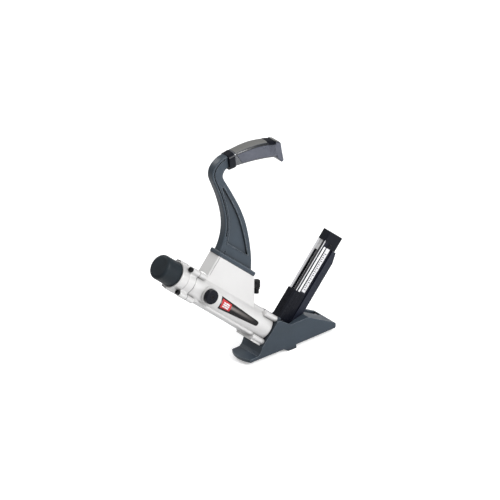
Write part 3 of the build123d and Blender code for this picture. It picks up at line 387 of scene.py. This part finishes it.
def sweep_tube(path, radius, sides):
    """Vertices and faces of a closed tube along a list of points."""
    vertices, faces = [], []
    normal = None
    for i, point in enumerate(path):
        ahead = path[min(i + 1, len(path) - 1)] - path[max(i - 1, 0)]
        ahead.normalize()
        if normal is None:
            normal = ahead.orthogonal().normalized()
        normal = (normal - ahead * normal.dot(ahead)).normalized()
        across = ahead.cross(normal)
        for k in range(sides):
            a = 2 * math.pi * k / sides
            vertices.append(point + (normal * math.cos(a) + across * math.sin(a)) * radius)
    for i in range(len(path) - 1):
        for k in range(sides):
            j = (k + 1) % sides
            faces.append((i * sides + k, i * sides + j, (i + 1) * sides + j, (i + 1) * sides + k))
    last = (len(path) - 1) * sides
    faces.append(tuple(reversed(range(sides))))
    faces.append(tuple(last + k for k in range(sides)))
    return vertices, faces


def grid_slab(top, low, rows, columns):
    """Vertices and faces of a closed slab from two grids of points, row by row."""
    faces = []
    count = len(top)

    def at(i, j):
        return i * columns + j

    for i in range(rows - 1):
        for j in range(columns - 1):
            ring = (at(i, j), at(i + 1, j), at(i + 1, j + 1), at(i, j + 1))
            faces.append(ring)
            faces.append(tuple(count + k for k in reversed(ring)))
    rim = [at(i, 0) for i in range(rows)]
    rim += [at(rows - 1, j) for j in range(1, columns)]
    rim += [at(i, columns - 1) for i in range(rows - 2, -1, -1)]
    rim += [at(0, j) for j in range(columns - 2, 0, -1)]
    for a, b in zip(rim, rim[1:] + rim[:1]):
        faces.append((b, a, count + a, count + b))
    return top + low, faces


def drape(node, ray, rows, columns, lift, sink=0.3 * MM):
    """Vertices and faces of a thin closed patch on a CAD node.

    ray(u, v) is a start outside the node and a direction. lift(u, v) is the height above it.
    """
    mesh = NODES[node].data
    polygons = [tuple(p.vertices) for p in mesh.polygons]
    tree = BVHTree.FromPolygons([v.co for v in mesh.vertices], polygons)
    top, low = [], []
    for i in range(rows):
        for j in range(columns):
            u, v = i / (rows - 1), j / (columns - 1)
            start, direction = ray(u, v)
            place, normal, _, _ = tree.ray_cast(start, direction)
            top.append(place + normal * lift(u, v))
            low.append(place - normal * sink)
    return grid_slab(top, low, rows, columns)


def join(parts):
    """One list of vertices and faces from several."""
    vertices, faces = [], []
    for more_vertices, more_faces in parts:
        shift = len(vertices)
        vertices += more_vertices
        faces += [tuple(k + shift for k in face) for face in more_faces]
    return vertices, faces


# ------------------------------------------------------------------------------------------
# springs
# ------------------------------------------------------------------------------------------
SPRING_STEPS = 22      # points in one turn
SPRING_EASE = 0.045    # how far the end turns are drawn in, as a part of the length


def coil_path(start, axis, length, radius, turns):
    """Points along a coil whose end turns lie closer together."""
    side = axis.cross(Y_AXIS).normalized()
    total = int(turns * SPRING_STEPS)
    path = []
    for i in range(total + 1):
        t = i / total
        eased = t - SPRING_EASE * math.sin(2 * math.pi * t)
        a = 2 * math.pi * turns * t
        centre = start + axis * (length * min(1.0, max(0.0, eased)))
        path.append(centre + (side * math.cos(a) + Y_AXIS * math.sin(a)) * radius)
    return path


def spring(node, axis, turns, wire, fixed_high):
    """Coil in place of the CAD's plain spring."""
    low, high = tool_box(node)
    k = 2 if axis is M_AXIS else 0
    radius = (high.y - low.y) / 2 - wire / 2
    first, fixed = (low + high) / 2, (low + high) / 2
    first[k] = low[k] + wire / 2
    fixed[k] = high[k] if fixed_high else low[k]
    whole = high[k] - low[k]
    path = coil_path(tool_point(*first), axis.normalized(), whole - wire, radius, turns)
    obj = piece(node + "_coil", *sweep_tube(path, wire / 2, 8), "spring_steel")
    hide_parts(node)
    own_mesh(obj)


def springs():
    spring("pusher_spring", M_AXIS, 38, 1.0 * MM, True)
    spring("strike_spring", B_AXIS, 7, 2.6 * MM, True)
    spring("valve_spring", B_AXIS, 2.5, 1.6 * MM, False)


springs()


# ------------------------------------------------------------------------------------------
# prints on the labels
# ------------------------------------------------------------------------------------------
RAY_START = 80 * MM    # beside the symmetry plane, outside every node
INK = 0.12 * MM


def print_bar(node, b0, b1, m0, m1, side=-1, lift=INK):
    """A raised bar on a node's side face, between two places along b and m."""
    def ray(u, v):
        start = tool_point(b0 + (b1 - b0) * u, side * RAY_START, m0 + (m1 - m0) * v)
        return start, Vector((0, -side, 0))
    return drape(node, ray, 4, 4, lambda u, v: lift)


def badge_planks():
    """A generic mark for flooring: three rows of staggered planks."""
    low, high = tool_box("badge")
    b0, b1 = low.x + 8 * MM, high.x - 7 * MM
    m0, row_height, gap = low.z + 4.2 * MM, 3.2 * MM, 1.2 * MM
    bars = []
    for row, butt in enumerate((0.38, 0.64, 0.30)):
        bottom = m0 + row * (row_height + gap)
        split = b0 + (b1 - b0) * butt
        for start, end in ((b0, split - gap / 2), (split + gap / 2, b1)):
            bars.append(print_bar("badge", start, end, bottom, bottom + row_height))
    piece("badge_planks", *join(bars), "label_white", smooth=False)


def magazine_marks():
    """A plain scale with no text: long and short strokes up the magazine's label."""
    low, high = tool_box("magazine_label")
    pitch, stroke, margin = 4.6 * MM, 1.5 * MM, 6 * MM
    start = low.x + 2 * MM
    strokes = []
    for i in range(int((high.z - low.z - 2 * margin) / pitch)):
        reach = (7.0, 4.0, 5.5, 3.0)[i % 4] * MM
        bottom = low.z + margin + i * pitch
        strokes.append(print_bar("magazine_label", start, start + reach, bottom, bottom + stroke))
    piece("magazine_marks", *join(strokes), "gasket", smooth=False)


def magazine_wear_strips():
    """Bright strips on the magazine's sides that the pusher runs along."""
    rear = tool_box("magazine_channel")[0].x + 4.5 * MM
    front = rear + 5.5 * MM
    bottom = tool_box("pusher_carriage")[0].z
    top = tool_box("magazine_end_cap")[0].z - 1 * MM
    for side, name in ((-1, "near"), (1, "far")):
        strip = print_bar("magazine_channel", rear, front, bottom, top, side, 0.2 * MM)
        piece("magazine_strip_" + name, *strip, "aluminium", smooth=False)


badge_planks()
magazine_marks()
magazine_wear_strips()


# ------------------------------------------------------------------------------------------
# grip details
# ------------------------------------------------------------------------------------------
GRIP_SPANS = 12        # pieces in which the grip's middle line is measured


def grip_ray(x0, x1, angle0, angle1):
    """Rays at the grip's middle line, from outside, between two places and two angles."""
    low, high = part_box("grip_sleeve")
    span = (high.x - low.x) / GRIP_SPANS
    start_radius = 60 * MM

    def middle(x):
        near = [v.co.z for v in NODES["grip_sleeve"].data.vertices if abs(v.co.x - x) < 9 * MM]
        return (min(near) + max(near)) / 2

    heights = [middle(low.x + span * k) for k in range(GRIP_SPANS + 1)]

    def ray(u, v):
        x = x0 + (x1 - x0) * u
        place = min(GRIP_SPANS - 0.001, max(0.0, (x - low.x) / span))
        k = int(place)
        z = heights[k] + (heights[k + 1] - heights[k]) * (place - k)
        a = angle0 + (angle1 - angle0) * v
        direction = Vector((0, math.cos(a), math.sin(a)))
        return Vector((x, 0, z)) - direction * start_radius, direction
    return ray


def grip_ribs():
    """Upright ribs on both sides of the sleeve's front end."""
    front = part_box("grip_sleeve")[1].x - 2.5 * MM
    pitch, width, height, count, half_angle = 3.6 * MM, 1.6 * MM, 0.7 * MM, 5, 0.62

    def lift(u, v):
        return height * math.sin(math.pi * u) * math.sin(math.pi * v) ** 0.3

    for name, middle in (("near", 0.0), ("far", math.pi)):
        ribs = []
        for i in range(count):
            end = front - i * pitch
            ray = grip_ray(end - width, end, middle - half_angle, middle + half_angle)
            ribs.append(drape("grip_sleeve", ray, 5, 15, lift))
        piece("grip_ribs_" + name, *join(ribs), "grip_rubber")


def grip_pad():
    """Black knurled thumb pad over the sleeve's front end."""
    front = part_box("grip_sleeve")[1].x
    rows, columns = 29, 25
    ray = grip_ray(front - 22 * MM, front - 1.2 * MM, math.radians(-142), math.radians(-38))

    def lift(u, v):
        edge = min(1.0, 8 * min(u, 1 - u, v, 1 - v))
        knurl = 0.35 * (math.cos(u * 14 * math.pi) * math.cos(v * 12 * math.pi)) ** 2
        return (0.45 + knurl) * edge * MM
    piece("grip_pad", *drape("grip_sleeve", ray, rows, columns, lift), "black_plastic")


grip_ribs()
grip_pad()


# ------------------------------------------------------------------------------------------
# floor, light and camera
# ------------------------------------------------------------------------------------------
FLOOR_HALF, FLOOR_GAP = 6.0, 0.2 * MM


def floor():
    """Pale paper. It glows to the camera only, and is duller to bounced light than it looks."""
    n = Nodes("floor_paper")
    path = n.add("ShaderNodeLightPath")
    seen = path.outputs["Is Camera Ray"]
    shown = n.math("MAXIMUM", seen, path.outputs["Is Glossy Ray"])
    patches = n.spread(n.noise(3, 3.0), NOISE_LOW, NOISE_HIGH)
    paper = n.mix(patches, (0.90, 0.90, 0.905, 1), (0.93, 0.93, 0.935, 1))
    material = n.surface(Base_Color=n.mix(shown, (0.42, 0.42, 0.43, 1), paper), Roughness=0.8,
                         Specular_IOR_Level=0.1, Emission_Color=(1, 1, 1, 1),
                         Emission_Strength=n.math("MULTIPLY", seen, 0.36),
                         Normal=n.bump(n.noise(500, 2.0), 0.03, GRAIN_DEPTH))
    z = CAD_BOUNDS[0][2] - FLOOR_GAP
    corners = [(x * FLOOR_HALF, y * FLOOR_HALF, z) for x, y in ((-1, -1), (1, -1), (1, 1), (-1, 1))]
    mesh = bpy.data.meshes.new("floor")
    mesh.from_pydata(corners, [], [(0, 1, 2, 3)])
    mesh.materials.append(material)
    obj = bpy.data.objects.new("floor", mesh)
    bpy.context.scene.collection.objects.link(obj)


def area_light(name, place, aim, size, power):
    data = bpy.data.lights.new(name, "AREA")
    data.shape = "DISK"
    data.size = size
    data.energy = power
    obj = bpy.data.objects.new(name, data)
    obj.location = place
    obj.rotation_euler = (Vector(aim) - Vector(place)).to_track_quat("-Z", "Y").to_euler()
    bpy.context.scene.collection.objects.link(obj)


def studio_world():
    """White overhead, dimmer towards the floor, so that round parts show their form."""
    world = bpy.data.worlds.new("studio")
    world.use_nodes = True
    tree = world.node_tree
    coords = tree.nodes.new("ShaderNodeTexCoord")
    split = tree.nodes.new("ShaderNodeSeparateXYZ")
    ramp = tree.nodes.new("ShaderNodeMapRange")
    strength = {"From Min": -0.1, "From Max": 0.9, "To Min": 0.25, "To Max": 0.78}
    for key, value in strength.items():
        ramp.inputs[key].default_value = value
    tree.links.new(coords.outputs["Generated"], split.inputs["Vector"])
    tree.links.new(split.outputs["Z"], ramp.inputs["Value"])
    tree.links.new(ramp.outputs["Result"], tree.nodes["Background"].inputs["Strength"])
    tree.nodes["Background"].inputs["Color"].default_value = (1, 1, 1, 1)
    bpy.context.scene.world = world


def lights():
    studio_world()
    aim = (-0.05, 0, 0.22)
    area_light("key", (0.5, -2.1, 1.5), aim, 0.9, 56)
    area_light("fill", (-1.6, -1.2, 1.8), aim, 1.2, 4)
    area_light("rim", (-0.4, 1.8, 1.8), aim, 0.6, 12)


AZIMUTH, ELEVATION, ROLL = math.radians(-32.5), math.radians(28.2), math.radians(6.1)
DISTANCE, FRAME_WIDTH, SENSOR = 30.0, 1.125, 36.0
AIM_RIGHT, AIM_UP = -0.0767, 0.2009


def camera():
    """A long lens far away, so that the view is nearly parallel."""
    flat = math.cos(ELEVATION)
    toward = Vector((math.sin(AZIMUTH) * flat, -math.cos(AZIMUTH) * flat, math.sin(ELEVATION)))
    right = Vector((math.cos(AZIMUTH), math.sin(AZIMUTH), 0))
    up = toward.cross(right)
    cam_right = right * math.cos(ROLL) - up * math.sin(ROLL)
    cam_up = up * math.cos(ROLL) + right * math.sin(ROLL)
    target = cam_right * AIM_RIGHT + cam_up * AIM_UP
    data = bpy.data.cameras.new("camera")
    data.sensor_width = SENSOR
    data.lens = SENSOR * DISTANCE / FRAME_WIDTH
    data.clip_end = 2 * DISTANCE
    obj = bpy.data.objects.new("camera", data)
    axes = Matrix((cam_right, cam_up, toward)).transposed().to_4x4()
    obj.matrix_world = Matrix.Translation(target + toward * DISTANCE) @ axes
    bpy.context.scene.collection.objects.link(obj)
    bpy.context.scene.camera = obj


floor()
lights()
camera()
bpy.context.scene.view_settings.view_transform = "Standard"
